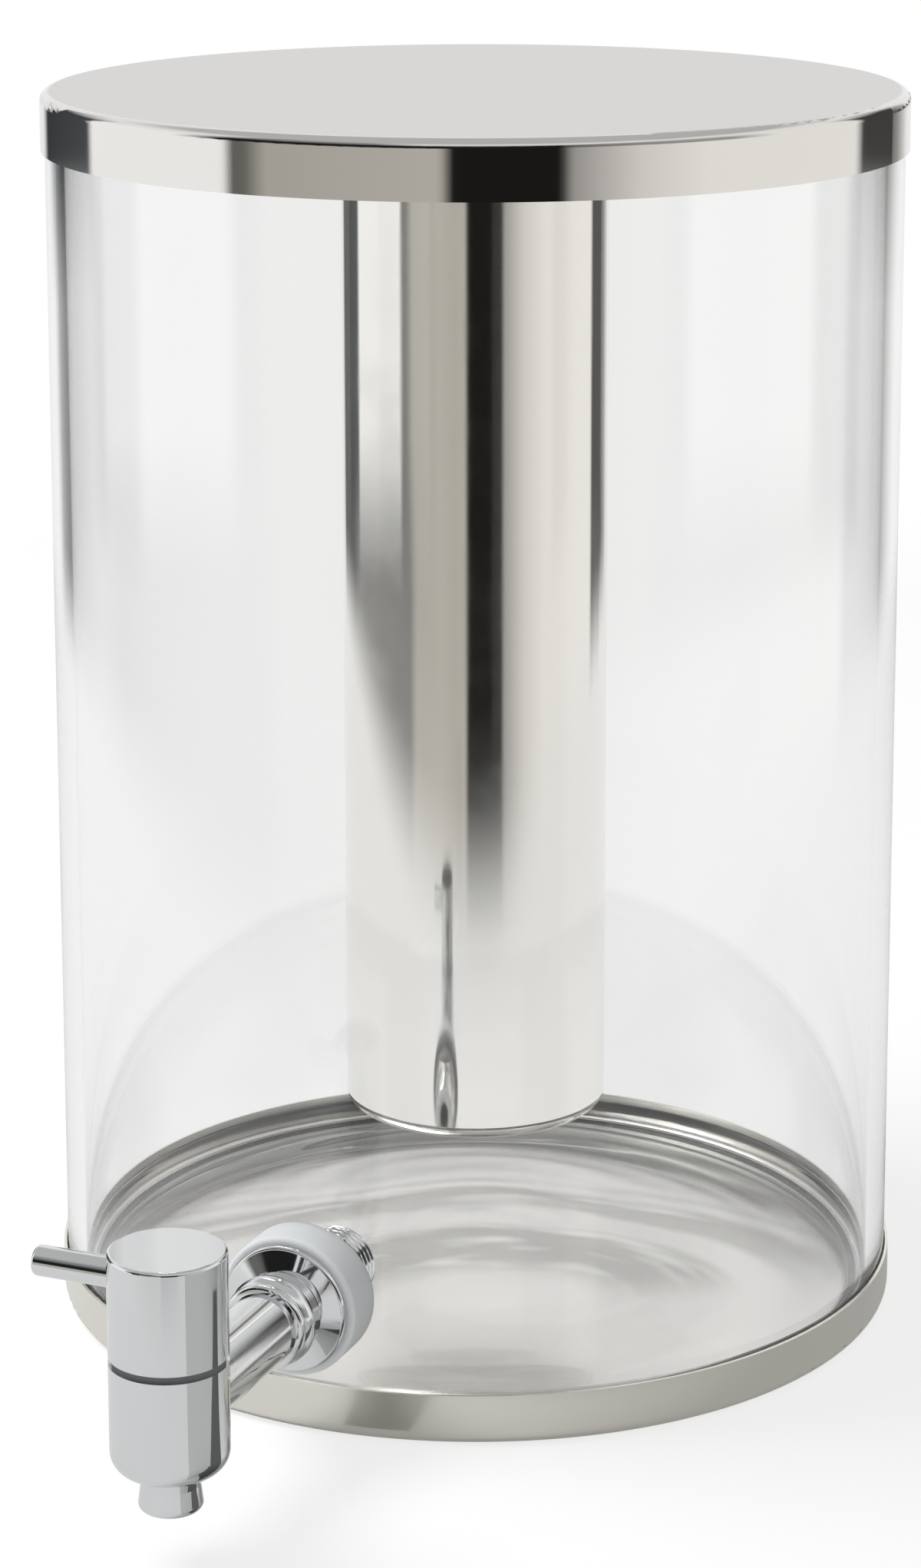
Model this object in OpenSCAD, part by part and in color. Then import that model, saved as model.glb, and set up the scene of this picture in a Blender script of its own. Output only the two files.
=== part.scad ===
// Glass juice dispenser: a straight glass jar in a steel base cup, with a steel lid,
// an ice tube that screws into the lid, and a chrome tap with a quarter-turn plug.
// The origin is on the jar's axis at the table, +Z is up, and the tap points to -Y.

/* [Jar] */
// Height from the table to the top of the lid
overall_h = 268; // [240:1:320]
// Outer diameter of the glass
jar_d = 183.2; // [170:0.2:220]
// Thickness of the glass wall
jar_wall = 4; // [3:0.25:6]
// Thickness of the glass bottom
jar_floor = 4; // [3:0.5:8]
// Radius of the inner corner at the glass bottom
jar_inner_corner = 4; // [2:0.5:6]
// Radius of the outer corner at the glass bottom
jar_outer_corner = 4; // [3:0.5:6]
// Diameter of the hole for the tap
tap_hole_d = 17; // [16.5:0.1:18]

/* [Base cup] */
// Height of the base cup
base_h = 11; // [9:0.5:13]
// Radius of the cup's bottom edge
base_corner = 3; // [1.5:0.25:4]
// Thickness of the pressed steel of the cup and the lid
sheet = 0.6; // [0.4:0.1:1]
// Thickness of the silicone ring under the glass
pad_t = 1.2; // [0.8:0.1:2]
// Width of the silicone ring under the glass
pad_w = 3; // [2:0.5:16]

/* [Lid] */
// Height of the lid's skirt
lid_skirt = 12.3; // [9:0.1:18]
// Radius of the lid's top edge
lid_edge = 2; // [1.2:0.1:3]
// Thickness of the ring that rests on the glass rim
lid_seal_t = 2; // [1.2:0.1:3]
// Width of the ring that rests on the glass rim
lid_seal_w = 4; // [3:0.25:6]

/* [Ice tube] */
// Outer diameter of the ice tube
tube_d = 57.6; // [48:0.2:70]
// Wall of the ice tube
tube_wall = 0.6; // [0.4:0.1:1]
// Height of the tube's bottom above the glass bottom
tube_above_floor = 36.2; // [20:0.2:60]
// Radius of the tube's bottom edge
tube_corner = 3; // [1.5:0.25:5]
// Height of the pressed bottom of the tube
tube_bottom_h = 5; // [5:0.5:9]
// Height of the threaded ring at the tube's mouth
neck_h = 13; // [9:0.5:15]
// Wall of the threaded ring at the tube's mouth
neck_wall = 1.2; // [0.8:0.1:2]
// Thickness of the gasket at the tube's mouth
tube_gasket_t = 2; // [1:0.1:3]
// Width of the gasket at the tube's mouth
tube_gasket_w = 2.4; // [2:0.1:4]
// Height of the threaded socket under the lid
socket_h = 16; // [15:0.5:20]
// Wall of the threaded socket under the lid
socket_wall = 2.7; // [1.5:0.1:4]

/* [Tap body] */
// Diameter of the tap's body and knob
tap_d = 23.2; // [22:0.2:26]
// Height of the tap's pipe above the table
tap_z = 30.6; // [29:0.2:40]
// Distance from the glass to the tap's upright axis
tap_reach = 62; // [56:0.5:75]
// Height of the body above the pipe's axis
body_above = 10.3; // [10.3:0.1:14]
// Height of the body below the pipe's axis
body_below = 12; // [11.4:0.1:15]
// Radius of the body's bottom edge
body_corner = 4.5; // [2:0.25:5]
// Diameter of the pipe
pipe_d = 14.8; // [14:0.1:16]
// Diameter of the passage through the pipe and shank
passage_d = 7.4; // [6:0.2:8]

/* [Spout] */
// Diameter of the spout under the body
spout_d = 11.7; // [11.4:0.1:13]
// Diameter of the spout's lip
lip_d = 12.6; // [12:0.1:15]
// Height of the spout below the body
spout_h = 7.7; // [6:0.1:8.5]
// Height of the spout's lip
lip_h = 2.5; // [1.8:0.1:3]
// Height over which the spout widens to its lip
flare_h = 3.8; // [2:0.1:4.5]
// Diameter of the spout's outlet
outlet_d = 8; // [6.5:0.1:8.4]
// Diameter of the spout's spigot inside the body
spigot_d = 10; // [9.6:0.1:11]
// Length of the spout's spigot inside the body
spigot_h = 3.4; // [2:0.1:3.8]

/* [Knob and lever] */
// Height of the knob
knob_h = 20.7; // [18:0.1:26]
// Rounding of the knob's top edge
knob_edge = 0.7; // [0.3:0.1:1.5]
// Height of the groove between knob and body
split_h = 1.5; // [1:0.1:2.5]
// Depth of the groove between knob and body
split_depth = 0.7; // [0.3:0.1:1.5]
// Diameter of the lever
lever_d = 6; // [5:0.1:7]
// Distance from the tap's upright axis to the lever's tip
lever_reach = 28; // [20:0.5:40]
// Depth of the lever's axis below the knob's top
lever_drop = 6.3; // [5:0.1:8]
// Rounding of the lever's tip
lever_edge = 0.8; // [0.3:0.1:2]
// Depth of the lever's seat in the knob
lever_seat = 2.2; // [1.5:0.1:3]
// Diameter of the lever's threaded end
lever_screw_d = 4; // [3:0.1:4.5]

/* [Valve] */
// Diameter of the plug that turns in the body
plug_d = 15.9; // [15.5:0.1:16.5]
// Height of the plug above the pipe's axis
plug_above = 6.9; // [6.6:0.1:7]
// Depth of the plug below the pipe's axis
plug_below = 7.1; // [6.9:0.1:7.2]
// Diameter of the port through the plug
port_d = 6; // [5:0.1:6.2]
// Diameter of the plug's stem
stem_d = 10; // [9:0.1:10.4]
// Height of the stem above the lever's axis
stem_above_lever = 3.5; // [2.8:0.1:4.2]
// Thickness of the sealing rings on the plug
ring_t = 1.4; // [1:0.1:1.5]
// Distance from the plug's ends to the middle of its sealing rings
ring_inset = 1.5; // [1.2:0.05:1.6]
// Wall of the seat ring round the inlet
seat_wall = 1.3; // [0.8:0.1:1.4]
// Distance from the tap's upright axis to the back of the seat ring
seat_back = 10.5; // [9.8:0.1:11]
// Diameter of the gland ring that holds the plug down
gland_d = 19.4; // [18.5:0.1:20]

/* [Shank and clamping] */
// Diameter of the shank's thread
thread_d = 16; // [14:0.1:16.2]
// Diameter of the shank's collar
collar_d = 19; // [17:0.1:22]
// Length of the shank's collar
collar_l = 10; // [9:0.5:14]
// Diameter of the collar's neck on both sides of its bead
collar_neck_d = 17; // [16.6:0.1:17.4]
// Width of the collar's round bead
bead_w = 5; // [3:0.1:6]
// Width of the small ring at the collar's outer end
step_w = 1.8; // [1:0.1:2]
// Length of the shank's spigot inside the pipe
shank_spigot_l = 8; // [5:0.5:12]
// Wall of the pipe round the shank's spigot
shank_spigot_wall = 1.3; // [1:0.1:1.6]
// Diameter of the flange disc
flange_d = 26.6; // [24:0.2:28]
// Thickness of the flange disc at its middle
flange_t = 2.5; // [2:0.1:4]
// Thickness of the flange disc at its rim
flange_rim_t = 1.4; // [1:0.1:1.8]
// Diameter of the outer gasket
gasket_d = 29.6; // [28:0.2:32]
// Thickness of the outer gasket at its middle
gasket_t = 8.9; // [5:0.1:11]
// Rounding of the outer gasket's front edge
gasket_edge = 1; // [0.5:0.1:2]
// Diameter of the inner gasket
inner_gasket_d = 23; // [21:0.2:24]
// Thickness of the inner gasket at its middle
inner_gasket_t = 1.8; // [1.5:0.1:3]
// Diameter of the washer under the nut
washer_d = 22.4; // [20:0.2:24]
// Thickness of the washer under the nut
washer_t = 0.5; // [0.4:0.1:1]
// Width of the nut across its flats
nut_af = 19; // [18:0.5:22]
// Thickness of the nut
nut_t = 3; // [2.5:0.1:5]
// Length of the shank's end beyond the nut
shank_end = 10; // [4:0.1:12]

/* [Clearances] */
// Gap between the glass and the steel round it
glass_gap = 0.3; // [0.2:0.05:0.6]
// Gap between the glass rim and the lid's ring
seat_gap = 0.2; // [0.1:0.05:0.4]
// Gap between the screwed ring and its socket
screw_gap = 0.3; // [0.2:0.05:0.5]
// Radial gap of the plug and the stem that turn in the tap
run_gap = 0.05; // [0.02:0.01:0.08]
// End gap of the plug and the knob
end_gap = 0.1; // [0.05:0.05:0.3]
// Gap between pieces that are pressed, screwed or welded together
joint_gap = 0.02; // [0.01:0.01:0.05]
// Radial gap of the shank in the pieces that it clamps
clamp_gap = 0.1; // [0.05:0.05:0.3]

/* [Hidden] */
$fn = 240;

// A cut runs this far past a face that it opens
past = 1;

steel = "#c9c8c3";
polished = "#dcdcda";
chrome = "#d4d6d8";
clear_glass = [0.85, 0.9, 0.9, 0.35];
white_silicone = "#e4e6e6";
clear_silicone = "#d9dcdc";
dark_plastic = "#4a4a4b";
white_plastic = "#eceae4";
black_rubber = "#2b2b2b";

jar_r = jar_d / 2;
bore_r = jar_r - jar_wall;
cup_r = jar_r + glass_gap + sheet;
jar_z = sheet + pad_t;
floor_z = jar_z + jar_floor;
lid_under_z = overall_h - sheet;
seal_z = lid_under_z - lid_seal_t;
rim_z = seal_z - seat_gap;
skirt_z = overall_h - lid_skirt;

tube_r = tube_d / 2;
tube_z = floor_z + tube_above_floor;
mouth_z = lid_under_z - tube_gasket_t;
neck_r = tube_r + joint_gap + neck_wall;
socket_r = neck_r + screw_gap;

tap_r = tap_d / 2;
tap_y = jar_r + tap_reach;
body_top_z = tap_z + body_above;
body_z = tap_z - body_below;
knob_z = body_top_z + split_h;
knob_top_z = knob_z + knob_h;
lever_z = knob_top_z - lever_drop;
spout_z = body_z - spout_h;

plug_r = plug_d / 2;
chamber_r = plug_r + run_gap;
plug_z = tap_z - plug_below;
plug_top_z = tap_z + plug_above;
chamber_z = plug_z - end_gap;
gland_z = plug_top_z + end_gap;
stem_r = stem_d / 2;
stem_top_z = lever_z + stem_above_lever;
port_r = port_d / 2;
seat_r = port_r + seat_wall;

shank_r = thread_d / 2 - joint_gap;
clamp_r = thread_d / 2 + clamp_gap;
flange_s = jar_r + gasket_t;
collar_s = flange_s + flange_t;
pipe_s = collar_s + collar_l;
spigot_end_s = pipe_s + shank_spigot_l;
shank_spigot_r = pipe_d / 2 - shank_spigot_wall;
inner_gasket_s = bore_r - inner_gasket_t;
washer_s = inner_gasket_s - washer_t;
nut_s = washer_s - nut_t;
shank_s = nut_s - shank_end;

// A ring with plain walls, standing on z
module ring(inner_r, outer_r, z, h) {
    translate([0, 0, z])
        difference() {
            cylinder(r = outer_r, h = h);
            translate([0, 0, -past]) cylinder(r = inner_r, h = h + 2 * past);
        }
}

// Half profile of a cup that stands on its rounded bottom edge
module cup_profile(r, h, corner) {
    square([r - corner, h]);
    translate([0, corner]) square([r, h - corner]);
    intersection() {
        translate([r - corner, corner]) circle(corner);
        translate([r - corner, 0]) square(corner);
    }
}

// A cup of even wall, open at its top
module pressed_cup(r, h, corner, wall) {
    difference() {
        rotate_extrude() cup_profile(r, h, corner);
        translate([0, 0, wall])
            rotate_extrude() cup_profile(r - wall, h, corner - wall);
    }
}

// Places a shape on the tap's upright axis
module on_tap() {
    translate([0, -tap_y, 0]) children();
}

// Lays a shape along the pipe's axis, its own height counted outwards from the jar's axis
module outward() {
    translate([0, 0, tap_z]) rotate([90, 0, 0]) children();
}

// The pressed steel cup that the glass stands in
module base_cup() {
    color(steel) pressed_cup(cup_r, base_h, base_corner, sheet);
}

// The clear silicone ring between the glass and the cup
module base_pad() {
    pad_r = jar_r - jar_outer_corner;
    color(clear_silicone) ring(pad_r - pad_w, pad_r, sheet, pad_t);
}

// The glass: flat bottom, straight wall, round rim and the hole for the tap
module glass_jar() {
    rim_r = jar_wall / 2;
    color(clear_glass)
        difference() {
            union() {
                translate([0, 0, jar_z])
                    rotate_extrude()
                        cup_profile(jar_r, rim_z - rim_r - jar_z, jar_outer_corner);
                translate([0, 0, rim_z - rim_r])
                    rotate_extrude() translate([jar_r - rim_r, 0]) circle(rim_r);
            }
            translate([0, 0, floor_z])
                rotate_extrude() cup_profile(bore_r, rim_z, jar_inner_corner);
            outward()
                translate([0, 0, bore_r - jar_wall])
                    cylinder(d = tap_hole_d, h = 3 * jar_wall);
        }
}

// The valve body with its pipe: one casting, bored from above, below and behind
module tap_body() {
    inlet_s = tap_y - seat_back;
    color(chrome)
        difference() {
            union() {
                on_tap()
                    translate([0, 0, body_z])
                        rotate_extrude()
                            cup_profile(tap_r, body_above + body_below, body_corner);
                outward() translate([0, 0, pipe_s]) cylinder(d = pipe_d, h = tap_y - pipe_s);
            }
            on_tap() {
                translate([0, 0, chamber_z]) cylinder(r = chamber_r, h = body_top_z);
                translate([0, 0, gland_z])
                    cylinder(r = gland_d / 2 + joint_gap, h = body_top_z);
                translate([0, 0, body_z]) cylinder(d = passage_d, h = body_below);
                translate([0, 0, body_z - past])
                    cylinder(r = spigot_d / 2 + joint_gap, h = spigot_h + past);
            }
            outward() {
                translate([0, 0, pipe_s - past]) cylinder(d = passage_d, h = tap_y - pipe_s);
                translate([0, 0, pipe_s - past])
                    cylinder(r = shank_spigot_r + joint_gap, h = shank_spigot_l + past);
                translate([0, 0, inlet_s]) cylinder(r = seat_r + joint_gap, h = seat_back);
            }
        }
}

// The hollow shank: thread towards the jar, beaded collar, and a spigot in the pipe
module tap_shank() {
    bead_r = bead_w / 2;
    step_r = step_w / 2;
    color(chrome)
        outward()
            difference() {
                union() {
                    translate([0, 0, shank_s]) cylinder(r = shank_r, h = collar_s - shank_s);
                    translate([0, 0, collar_s]) cylinder(d = collar_neck_d, h = collar_l - step_w);
                    translate([0, 0, collar_s + collar_l / 2])
                        rotate_extrude() translate([collar_d / 2 - bead_r, 0]) circle(bead_r);
                    translate([0, 0, pipe_s - step_w])
                        rotate_extrude() translate([collar_neck_d / 2 - step_r / 2, 0]) circle(step_r);
                    translate([0, 0, collar_s]) cylinder(d = pipe_d, h = collar_l);
                    translate([0, 0, collar_s])
                        cylinder(r = shank_spigot_r, h = spigot_end_s - collar_s);
                }
                translate([0, 0, shank_s - past])
                    cylinder(d = passage_d, h = spigot_end_s - shank_s + 2 * past);
            }
}

// The chrome disc that presses on the outer gasket, thinner towards its rim
module tap_flange() {
    rim_r = flange_rim_t / 2;
    rim_at = flange_d / 2 - rim_r;
    hub = collar_neck_d / 2 + clamp_gap;
    color(chrome)
        outward()
            translate([0, 0, flange_s])
                difference() {
                    rotate_extrude() {
                        polygon([[0, 0], [rim_at, 0], [rim_at, flange_rim_t], [hub, flange_t], [0, flange_t]]);
                        translate([rim_at, rim_r]) circle(rim_r);
                    }
                    translate([0, 0, -past]) cylinder(r = clamp_r, h = flange_t + 2 * past);
                }
}

// The white silicone gasket, hollowed to lie on the outside of the glass
module outer_gasket() {
    color(white_silicone)
        difference() {
            outward()
                translate([0, 0, flange_s])
                    mirror([0, 0, 1])
                        rotate_extrude()
                            cup_profile(gasket_d / 2, gasket_t + jar_wall, gasket_edge);
            cylinder(r = jar_r + joint_gap, h = overall_h);
            outward() translate([0, 0, bore_r]) cylinder(r = clamp_r, h = flange_s);
        }
}

// The inner silicone gasket, rounded to lie on the inside of the glass
module inner_gasket() {
    color(white_silicone)
        difference() {
            intersection() {
                outward()
                    translate([0, 0, inner_gasket_s])
                        cylinder(d = inner_gasket_d, h = inner_gasket_t + jar_wall);
                cylinder(r = bore_r - joint_gap, h = overall_h);
            }
            outward()
                translate([0, 0, inner_gasket_s - past])
                    cylinder(r = clamp_r, h = inner_gasket_t + jar_wall);
        }
}

// The steel washer between the inner gasket and the nut
module nut_washer() {
    color(steel) outward() ring(clamp_r, washer_d / 2, washer_s, washer_t);
}

// The hexagon nut with bevelled corners that clamps the tap from inside
module lock_nut() {
    corner_r = nut_af / 2 / cos(30);
    bevel = corner_r - nut_af / 2;
    color(polished)
        outward()
            translate([0, 0, nut_s])
                difference() {
                    intersection() {
                        cylinder(r = corner_r, h = nut_t, $fn = 6);
                        union() {
                            cylinder(r1 = corner_r - bevel, r2 = corner_r, h = bevel / 2);
                            translate([0, 0, bevel / 2]) cylinder(r = corner_r, h = nut_t - bevel / 2);
                        }
                    }
                    translate([0, 0, -past]) cylinder(d = thread_d, h = nut_t + 2 * past);
                }
}

// The seat ring in the body's inlet, hollowed to lie on the plug
module seat_ring() {
    color(white_silicone)
        difference() {
            outward() ring(port_r, seat_r, tap_y - seat_back, seat_back);
            on_tap() translate([0, 0, body_z]) cylinder(r = chamber_r, h = body_above + body_below);
        }
}

// The screwed ring that holds the plug down in the body
module gland_ring() {
    color(steel)
        on_tap() ring(stem_r + run_gap, gland_d / 2, gland_z, body_top_z - gland_z);
}

// The dark washer in the groove between knob and body
module split_washer() {
    color(dark_plastic)
        on_tap() ring(stem_r + clamp_gap, tap_r - split_depth, body_top_z, split_h - end_gap);
}

// The spout, with a spigot in the body and a rounded lip
module spout() {
    lip_r = lip_h / 2;
    color(chrome)
        on_tap()
            translate([0, 0, spout_z])
                difference() {
                    union() {
                        translate([0, 0, lip_r]) cylinder(d = spout_d, h = spout_h - lip_r);
                        translate([0, 0, lip_r]) cylinder(d1 = lip_d, d2 = spout_d, h = flare_h);
                        cylinder(d = lip_d - 2 * lip_r, h = lip_h);
                        rotate_extrude() translate([lip_d / 2 - lip_r, lip_r]) circle(lip_r);
                        cylinder(d = spigot_d, h = spout_h + spigot_h);
                    }
                    translate([0, 0, -past]) cylinder(d = outlet_d, h = spout_h + spigot_h + 2 * past);
                }
}

// The plug: a drum with a port that turns the flow down, and the stem for the knob
module valve_plug() {
    groove_r = plug_r - ring_t;
    color(white_plastic)
        on_tap()
            difference() {
                union() {
                    translate([0, 0, plug_z]) cylinder(r = plug_r, h = plug_top_z - plug_z);
                    translate([0, 0, plug_z]) cylinder(r = stem_r, h = stem_top_z - plug_z);
                }
                for (z = [plug_z + ring_inset, plug_top_z - ring_inset])
                    ring(groove_r, plug_r + past, z - ring_t / 2 - joint_gap, ring_t + 2 * joint_gap);
                translate([0, 0, plug_z - past]) cylinder(r = port_r, h = plug_below + past);
                translate([0, 0, tap_z]) rotate([0, 90, 0]) cylinder(r = port_r, h = plug_d);
                translate([0, 0, lever_z])
                    rotate([0, -90, 0]) cylinder(r = lever_screw_d / 2 + joint_gap, h = plug_d);
            }
}

// The two sealing rings in the plug's grooves
module plug_seals() {
    color(black_rubber)
        on_tap()
            for (z = [plug_z + ring_inset, plug_top_z - ring_inset])
                translate([0, 0, z])
                    rotate_extrude() translate([plug_r - ring_t / 2, 0]) circle(ring_t / 2 - joint_gap);
}

// The turned knob with its round top edge, bored for the stem and the lever
module tap_knob() {
    color(chrome)
        on_tap()
            difference() {
                translate([0, 0, knob_top_z])
                    mirror([0, 0, 1]) rotate_extrude() cup_profile(tap_r, knob_h, knob_edge);
                translate([0, 0, knob_z - past])
                    cylinder(r = stem_r + joint_gap, h = stem_top_z + joint_gap - knob_z + past);
                translate([0, 0, lever_z])
                    rotate([0, -90, 0]) {
                        cylinder(r = lever_screw_d / 2 + joint_gap, h = tap_d);
                        translate([0, 0, tap_r - lever_seat])
                            cylinder(r = lever_d / 2 + joint_gap, h = tap_d);
                    }
            }
}

// The straight lever, screwed through the knob into the stem
module lever() {
    seat_x = tap_r - lever_seat + joint_gap;
    color(chrome)
        on_tap()
            translate([0, 0, lever_z])
                rotate([0, -90, 0]) {
                    translate([0, 0, lever_reach])
                        mirror([0, 0, 1])
                            rotate_extrude()
                                cup_profile(lever_d / 2, lever_reach - seat_x, lever_edge);
                    cylinder(d = lever_screw_d, h = seat_x + past);
                }
}

// The pressed steel lid, a flat top and a straight skirt
module lid_shell() {
    color(polished)
        translate([0, 0, overall_h])
            mirror([0, 0, 1]) pressed_cup(cup_r, lid_skirt, lid_edge, sheet);
}

// The clear silicone ring under the lid that rests on the glass rim
module lid_seal() {
    middle_r = jar_r - jar_wall / 2;
    color(clear_silicone)
        ring(middle_r - lid_seal_w / 2, min(middle_r + lid_seal_w / 2, cup_r - lid_edge), seal_z, lid_seal_t);
}

// The socket under the lid that the ice tube screws into
module tube_socket() {
    color(steel) ring(socket_r, socket_r + socket_wall, lid_under_z - socket_h, socket_h);
}

// The flat gasket between the tube's mouth and the lid
module tube_gasket() {
    color(white_silicone) ring(neck_r - tube_gasket_w, neck_r, mouth_z, tube_gasket_t);
}

// The rolled wall of the ice tube
module ice_tube() {
    wall_z = tube_z + tube_bottom_h;
    color(polished) ring(tube_r - tube_wall, tube_r, wall_z, mouth_z - wall_z);
}

// The pressed bottom of the ice tube, welded to its wall
module tube_bottom() {
    color(polished) translate([0, 0, tube_z]) pressed_cup(tube_r, tube_bottom_h, tube_corner, tube_wall);
}

// The threaded ring welded round the tube's mouth
module tube_neck() {
    color(steel) ring(tube_r + joint_gap, neck_r, mouth_z - neck_h, neck_h);
}

base_cup();
base_pad();
glass_jar();
tap_body();
tap_shank();
tap_flange();
outer_gasket();
inner_gasket();
nut_washer();
lock_nut();
seat_ring();
gland_ring();
split_washer();
spout();
valve_plug();
plug_seals();
tap_knob();
lever();
lid_shell();
lid_seal();
tube_socket();
tube_gasket();
ice_tube();
tube_bottom();
tube_neck();
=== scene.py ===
# %% [markdown]
# # A glass juice dispenser
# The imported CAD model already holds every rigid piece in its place. This lesson dresses it: clear glass
# with a rippled bottom, the tap's screw thread, and the finishes of steel, chrome, silicone and plastic.
# All lengths are metres in Blender, so sizes known in millimetres are multiplied by MM.

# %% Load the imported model
import math

import bmesh
import bpy
from mathutils import Matrix, Vector


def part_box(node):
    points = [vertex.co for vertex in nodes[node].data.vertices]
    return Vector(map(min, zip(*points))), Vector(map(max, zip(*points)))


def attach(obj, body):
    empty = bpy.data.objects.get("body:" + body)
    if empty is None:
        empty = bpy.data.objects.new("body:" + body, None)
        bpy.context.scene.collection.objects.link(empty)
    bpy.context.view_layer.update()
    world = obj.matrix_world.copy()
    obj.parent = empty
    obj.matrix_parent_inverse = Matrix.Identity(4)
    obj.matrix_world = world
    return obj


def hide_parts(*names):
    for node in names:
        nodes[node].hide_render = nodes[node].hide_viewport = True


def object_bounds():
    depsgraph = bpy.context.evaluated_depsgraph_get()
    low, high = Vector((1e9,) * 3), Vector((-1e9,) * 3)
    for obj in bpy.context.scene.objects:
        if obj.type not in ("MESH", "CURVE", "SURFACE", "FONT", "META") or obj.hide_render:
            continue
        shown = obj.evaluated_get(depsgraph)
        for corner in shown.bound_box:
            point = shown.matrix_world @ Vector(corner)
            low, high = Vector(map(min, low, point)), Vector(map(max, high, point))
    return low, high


MM = 0.001
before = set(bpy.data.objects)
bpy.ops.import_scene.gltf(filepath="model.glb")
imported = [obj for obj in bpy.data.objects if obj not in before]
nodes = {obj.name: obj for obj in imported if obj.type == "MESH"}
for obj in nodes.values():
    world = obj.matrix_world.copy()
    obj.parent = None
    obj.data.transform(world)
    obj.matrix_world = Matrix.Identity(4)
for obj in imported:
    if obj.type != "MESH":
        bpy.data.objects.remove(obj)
cad_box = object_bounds()
print(len(nodes), "CAD pieces in", [round(side / MM, 1) for side in cad_box[1] - cad_box[0]], "mm")

# %% [markdown]
# ## Camera
# The picture was taken from a little above the lid, from the right of the tap, and its upright sides were
# straightened. A shifted lens straightens them too: the camera looks less far down, and the frame slides
# down over its image. The shift stays small, because every other view keeps it.

# %% Place the camera
PICTURE_H = 2042
LENS_PIXELS, LENS_SHIFT = 5314.9, -0.2
CAMERA_TURN, CAMERA_AWAY, CAMERA_HIGH = 0.3904, 868.2 * MM, 362.4 * MM
LOOK_DOWN, LOOK_ASIDE, LEAN = 0.2022, 0.0037, -0.0015
camera_data = bpy.data.cameras.new("camera")
camera_data.sensor_fit = "VERTICAL"
camera_data.sensor_height = 36.0
camera_data.lens = LENS_PIXELS * camera_data.sensor_height / PICTURE_H
camera_data.shift_y = LENS_SHIFT
camera_data.clip_start = 10 * MM
camera = bpy.data.objects.new("camera", camera_data)
bpy.context.scene.collection.objects.link(camera)
stand = Matrix.Rotation(CAMERA_TURN, 3, "Z") @ Vector((0, -CAMERA_AWAY, CAMERA_HIGH))
facing = Matrix.Rotation(CAMERA_TURN + LOOK_ASIDE, 4, "Z")
tilt = Matrix.Rotation(math.pi / 2 - LOOK_DOWN, 4, "X")
camera.matrix_world = Matrix.Translation(stand) @ facing @ tilt @ Matrix.Rotation(LEAN, 4, "Z")
bpy.context.scene.camera = camera
bpy.context.scene.view_settings.view_transform = "Standard"
print("camera at", [round(v / MM) for v in stand], "mm, lens", round(camera_data.lens, 1), "mm")

# %% [markdown]
# Light passes up to eight faces of glass on its way to the steel inside the jar and back to the eye. If
# the renderer gives up before that, the steel turns black, so it is allowed more turns than usual.

# %% Let light pass many faces of glass
light_paths = bpy.context.scene.cycles
light_paths.max_bounces = 28
light_paths.glossy_bounces = 8
light_paths.transmission_bounces = 20
print("light may turn", light_paths.max_bounces, "times")

# %% [markdown]
# ## Nodes and colours
# Every finish is a small tree of shader nodes. One function adds a node and feeds its sockets, from a
# value or from another node's output. Colours are written as sRGB hex, as a colour picker shows them, and
# turned to the linear values that the renderer counts in.

# %% Helpers for finishes
def linear(hex_text):
    """Linear red, green, blue and alpha of an sRGB hex colour."""
    parts = [int(hex_text[i:i + 2], 16) / 255 for i in (1, 3, 5)]
    return [p / 12.92 if p <= 0.04045 else ((p + 0.055) / 1.055) ** 2.4 for p in parts] + [1.0]


def add(tree, kind, inputs=None, **settings):
    """Adds a node with its settings; each input takes a value or the output that feeds it."""
    node = tree.nodes.new(kind)
    for name, value in settings.items():
        setattr(node, name, value)
    for name, value in (inputs or {}).items():
        if isinstance(value, bpy.types.NodeSocket):
            tree.links.new(value, node.inputs[name])
        else:
            node.inputs[name].default_value = value
    return node


def new_finish(name, **inputs):
    """A material with one Principled shader, whose sockets start at the given values."""
    material = bpy.data.materials.new(name)
    material.use_nodes = True
    tree = material.node_tree
    tree.nodes.clear()
    sockets = {key.replace("_", " "): value for key, value in inputs.items()}
    shader = add(tree, "ShaderNodeBsdfPrincipled", sockets)
    add(tree, "ShaderNodeOutputMaterial", {"Surface": shader.outputs["BSDF"]})
    return material, tree, shader


def set_stops(ramp, stops):
    """Gives a colour ramp its stops, each a position from 0 to 1 and a colour, in rising order."""
    elements = ramp.color_ramp.elements
    while len(elements) < len(stops):
        elements.new(0.5)
    for element, (position, colour) in zip(elements, stops):
        element.position = position
        element.color = colour


def dress(material, *names):
    """Gives CAD pieces this finish."""
    for name in names:
        for slot in nodes[name].material_slots:
            slot.material = material
    print(material.name, "on", ", ".join(names))


# %% [markdown]
# ## Studio
# Polished metal has no look of its own: it shows the room. Here the room is a ring of soft walls: a black
# flag behind the camera, a warm wall and a large window on the left, a pale wall on the right, dark
# corners behind and a white backdrop. Only mirrors show it. The camera sees plain white, a ray that has
# only passed through the jar sees a pale wall, and matt surfaces get an even light. Each edge of a wall
# has a bearing in degrees, counted from the camera to its right, a colour and a level. The levels are
# divided by ROOM_LIGHT, the strength that the room gets in the end, so that the ramp's values stay below 1.

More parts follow.
